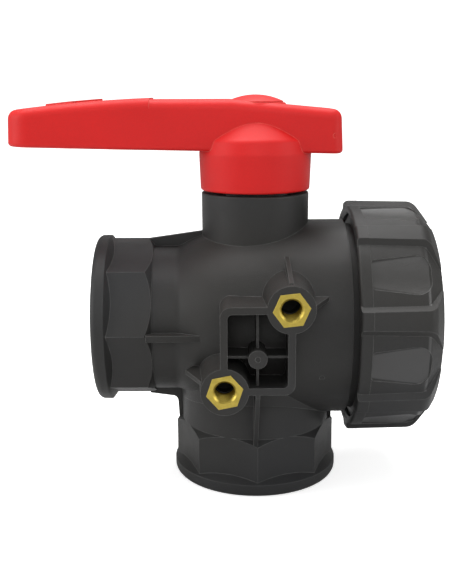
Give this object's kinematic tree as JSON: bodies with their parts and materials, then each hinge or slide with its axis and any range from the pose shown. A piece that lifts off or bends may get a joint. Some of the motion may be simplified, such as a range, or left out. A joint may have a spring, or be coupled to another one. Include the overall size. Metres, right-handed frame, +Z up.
{
  "type": "three-way ball valve",
  "caption": "Bottom-inlet L-port ball valve with a long lever, two threaded ports, a union-nut end and a two-insert fixing face.",
  "frame": {"origin": "centre of the bottom port's face, on the stem axis", "axes": "+Z up the stem, +X along the through axis towards the union nut, -Y out of the fixing face"},
  "size_m": [0.1887, 0.1123, 0.1748],
  "materials": {
    "body_plastic": "charcoal glass-filled polypropylene, moulded grain",
    "lever_plastic": "red moulded nylon, satin",
    "ball_plastic": "polished black polypropylene",
    "stem_plastic": "black glass-filled polypropylene",
    "seat_ptfe": "white PTFE, machined",
    "seal_rubber": "black rubber",
    "insert_brass": "machined brass",
    "fastener_steel": "stainless steel"
  },
  "bodies": {
    "valve": {"valve_body": "body_plastic", "insert_upper": "insert_brass", "insert_lower": "insert_brass", "seat_left": "seat_ptfe", "seat_right": "seat_ptfe", "seat_oring_left": "seal_rubber", "seat_oring_right": "seal_rubber", "seat_carrier": "body_plastic", "seat_carrier_oring": "seal_rubber", "stem_thrust_washer": "seat_ptfe"},
    "lever": {"handle_lever": "lever_plastic", "handle_cap": "lever_plastic", "handle_screw": "fastener_steel", "handle_washer": "fastener_steel", "stem": "stem_plastic", "stem_oring_lower": "seal_rubber", "stem_oring_upper": "seal_rubber", "ball": "ball_plastic"},
    "connector": {"end_connector": "body_plastic", "end_connector_oring": "seal_rubber"},
    "nut": {"union_nut": "body_plastic"}
  },
  "joints": [
    {"name": "lever_turn", "type": "hinge", "parent": "valve", "child": "lever", "pos_m": [0, 0, 0.15], "axis": [0, 0, -1], "range_deg": [0, 180]},
    {"name": "connector_slide", "type": "slide", "parent": "valve", "child": "connector", "axis": [1, 0, 0], "range_m": [0, 0.012]},
    {"name": "nut_turn", "type": "hinge", "parent": "connector", "child": "nut", "pos_m": [0.06, 0, 0.0741], "axis": [1, 0, 0], "range_deg": [0, 1080]}
  ],
  "couplings": [
    {"joint": "connector_slide", "follows": "nut_turn", "m_per_rad": 0.00063662}
  ]
}
